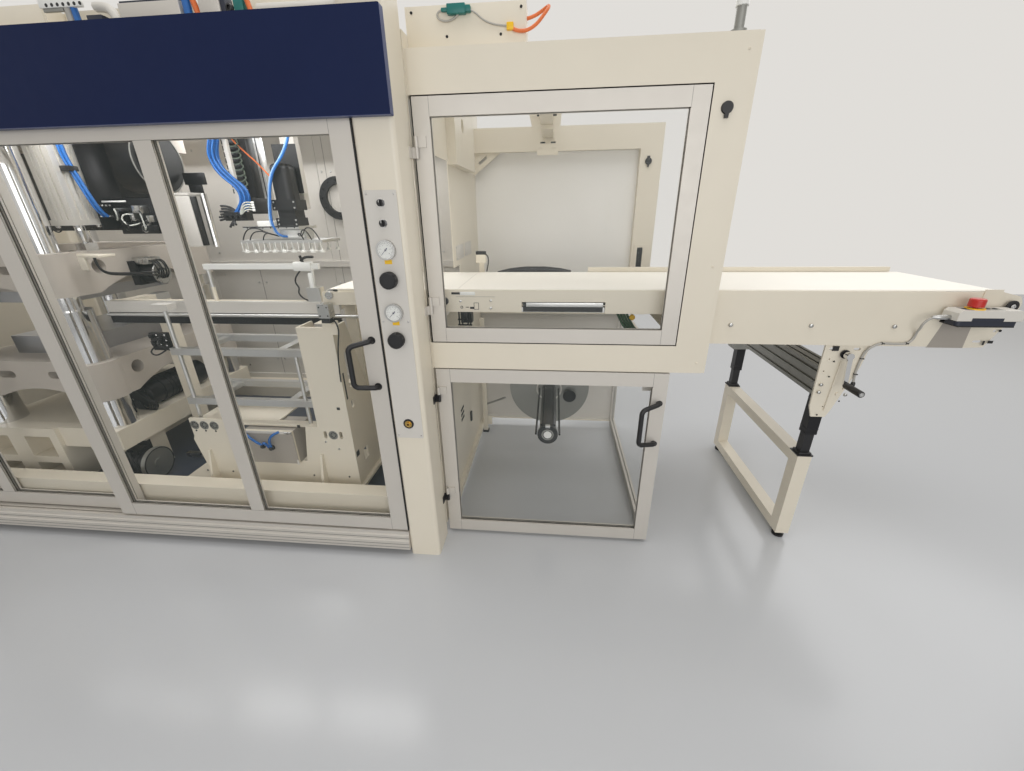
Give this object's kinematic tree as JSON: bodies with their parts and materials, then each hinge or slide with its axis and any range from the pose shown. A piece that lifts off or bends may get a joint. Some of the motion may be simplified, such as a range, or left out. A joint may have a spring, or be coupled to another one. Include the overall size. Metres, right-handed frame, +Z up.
{
  "type": "thermoforming machine",
  "caption": "Enclosed forming, stacking and delivery line with sliding glazed doors, a guarded delivery section over a scrap winder cabinet, and a height-adjustable outfeed conveyor.",
  "frame": {"origin": "centre of the footprint on the floor", "axes": "+X along the line to the outfeed end, +Y to the rear of the machine, +Z up"},
  "size_m": [5.345, 1.623, 2.11],
  "materials": {
    "cream_paint": "satin",
    "navy_paint": "satin",
    "grey_panel": "satin",
    "wall_panel": "satin",
    "floor_paint": "satin",
    "anodised": "satin",
    "beam_aluminium": "satin",
    "clear_panel": "gloss",
    "black_plastic": "matte",
    "white_plastic": "matte",
    "dark_steel": "satin",
    "steel": "satin",
    "chrome": "polished",
    "brass": "satin",
    "casting": "matte",
    "belt_white": "matte",
    "gauge_face": "gloss",
    "pendant_shell": "matte",
    "button_red": "gloss",
    "cable_grey": "matte",
    "hose_blue": "gloss"
  },
  "bodies": {
    "machine": {"columns": "cream_paint", "base_frame": "cream_paint", "floor_plate": "floor_paint", "enclosure_walls": "cream_paint", "rear_panels": "wall_panel", "header_panel": "navy_paint", "roof_duct": "white_plastic", "door_tracks": "anodised", "control_plate": "grey_panel", "gauges": "gauge_face", "air_socket": "brass", "guard_portal": "cream_paint", "rear_portal": "cream_paint", "guard_ties": "cream_paint", "hinge_pins": "dark_steel", "cabinet_side_frame": "cream_paint", "cabinet_side_pane": "clear_panel", "cabinet_panels": "cream_paint", "leg_frame": "cream_paint", "guide_columns": "chrome", "press_base": "cream_paint", "press_cylinder": "steel", "machine_rails": "anodised", "air_hoses": "hose_blue"},
    "door_a": {"door_a_frame": "anodised", "door_a_panes": "clear_panel", "door_a_handle": "black_plastic"},
    "door_b": {"door_b_frame": "anodised", "door_b_panes": "clear_panel"},
    "selector_upper": {"selector_upper": "black_plastic"},
    "selector_lower": {"selector_lower": "black_plastic"},
    "regulator_upper": {"regulator_upper": "black_plastic"},
    "regulator_lower": {"regulator_lower": "black_plastic"},
    "guard_lock": {"guard_lock": "black_plastic"},
    "rear_lock": {"rear_lock": "black_plastic"},
    "window_door": {"window_frame": "anodised", "window_pane": "clear_panel"},
    "cabinet_door": {"cabinet_door_frame": "anodised", "cabinet_door_pane": "clear_panel", "cabinet_handle": "black_plastic"},
    "winder": {"winder_shaft": "steel", "winder_flange": "anodised"},
    "conveyor": {"conveyor_frame": "cream_paint", "conveyor_belt": "belt_white", "stand_sleeves": "dark_steel", "stand_head": "cream_paint", "cross_beam": "beam_aluminium", "pendant_case": "pendant_shell", "pendant_cable": "cable_grey"},
    "nose_roller": {"nose_roller": "steel"},
    "end_roller": {"end_roller": "steel"},
    "crank": {"crank": "steel"},
    "crank_grip": {"crank_grip": "black_plastic"},
    "stop_button": {"stop_button": "button_red"},
    "lower_platen": {"lower_platen": "casting"},
    "upper_platen": {"upper_platen": "casting", "cylinder_rod": "steel"},
    "stacker": {"stacker_bracket": "cream_paint", "stacking_frame": "anodised"},
    "gripper_head": {"gripper_head": "anodised"}
  },
  "joints": [
    {"name": "door_a_slide", "type": "slide", "parent": "machine", "child": "door_a", "axis": [-1, 0, 0], "range_m": [0, 1.387]},
    {"name": "door_b_slide", "type": "slide", "parent": "machine", "child": "door_b", "axis": [1, 0, 0], "range_m": [0, 1.387]},
    {"name": "selector_upper_turn", "type": "hinge", "parent": "machine", "child": "selector_upper", "pos_m": [0.3845, -0.7565, 1.528], "axis": [0, 1, 0], "range_deg": [-45, 45]},
    {"name": "selector_lower_turn", "type": "hinge", "parent": "machine", "child": "selector_lower", "pos_m": [0.3845, -0.7565, 1.465], "axis": [0, 1, 0], "range_deg": [-45, 45]},
    {"name": "regulator_upper_turn", "type": "hinge", "parent": "machine", "child": "regulator_upper", "pos_m": [0.3845, -0.7565, 1.279], "axis": [0, 1, 0], "range_deg": [-150, 150]},
    {"name": "regulator_lower_turn", "type": "hinge", "parent": "machine", "child": "regulator_lower", "pos_m": [0.3845, -0.7565, 1.061], "axis": [0, 1, 0], "range_deg": [-150, 150]},
    {"name": "guard_lock_turn", "type": "hinge", "parent": "machine", "child": "guard_lock", "pos_m": [1.493, -0.5915, 1.79], "axis": [0, 1, 0], "range_deg": [0, 90]},
    {"name": "rear_lock_turn", "type": "hinge", "parent": "machine", "child": "rear_lock", "pos_m": [1.493, 0.6495, 1.75], "axis": [0, 1, 0], "range_deg": [0, 90]},
    {"name": "window_door_hinge", "type": "hinge", "parent": "machine", "child": "window_door", "pos_m": [0.4755, -0.6005, 1.003], "axis": [0, 0, -1], "range_deg": [0, 90]},
    {"name": "cabinet_door_hinge", "type": "hinge", "parent": "machine", "child": "cabinet_door", "pos_m": [0.4755, -0.6005, 0.018], "axis": [0, 0, -1], "range_deg": [0, 90]},
    {"name": "winder_turn", "type": "hinge", "parent": "machine", "child": "winder", "pos_m": [0.9485, -0.4005, 0.48], "axis": [0, 1, 0], "continuous": true},
    {"name": "conveyor_lift", "type": "slide", "parent": "machine", "child": "conveyor", "axis": [0, 0, 1], "range_m": [-0.06, 0.025]},
    {"name": "nose_roller_turn", "type": "hinge", "parent": "conveyor", "child": "nose_roller", "pos_m": [0.0145, -0.5165, 1.178], "axis": [0, 1, 0], "continuous": true},
    {"name": "end_roller_turn", "type": "hinge", "parent": "conveyor", "child": "end_roller", "pos_m": [2.6305, -0.5165, 1.15], "axis": [0, 1, 0], "continuous": true},
    {"name": "crank_turn", "type": "hinge", "parent": "conveyor", "child": "crank", "pos_m": [2.1245, -0.5165, 0.952], "axis": [0, 1, 0], "range_deg": [-2200, 950]},
    {"name": "crank_grip_turn", "type": "hinge", "parent": "crank", "child": "crank_grip", "pos_m": [2.1375, -0.5505, 0.833], "axis": [0, 1, 0], "continuous": true},
    {"name": "stop_button_press", "type": "slide", "parent": "conveyor", "child": "stop_button", "axis": [0, 0, -1], "range_m": [0, 0.004], "stiffness_N_per_m": 2000},
    {"name": "lower_platen_slide", "type": "slide", "parent": "machine", "child": "lower_platen", "axis": [0, 0, 1], "range_m": [0, 0.12]},
    {"name": "upper_platen_slide", "type": "slide", "parent": "machine", "child": "upper_platen", "axis": [0, 0, 1], "range_m": [-0.04, 0.06]},
    {"name": "stacker_slide", "type": "slide", "parent": "machine", "child": "stacker", "axis": [1, 0, 0], "range_m": [-0.22, 0.1]},
    {"name": "gripper_head_slide", "type": "slide", "parent": "machine", "child": "gripper_head", "axis": [0, 0, 1], "range_m": [-0.12, 0.06]}
  ],
  "couplings": [
    {"joint": "crank_turn", "follows": "conveyor_lift", "rad_per_m": 628.32},
    {"joint": "nose_roller_turn", "follows": "end_roller_turn", "ratio": 1.3636}
  ]
}
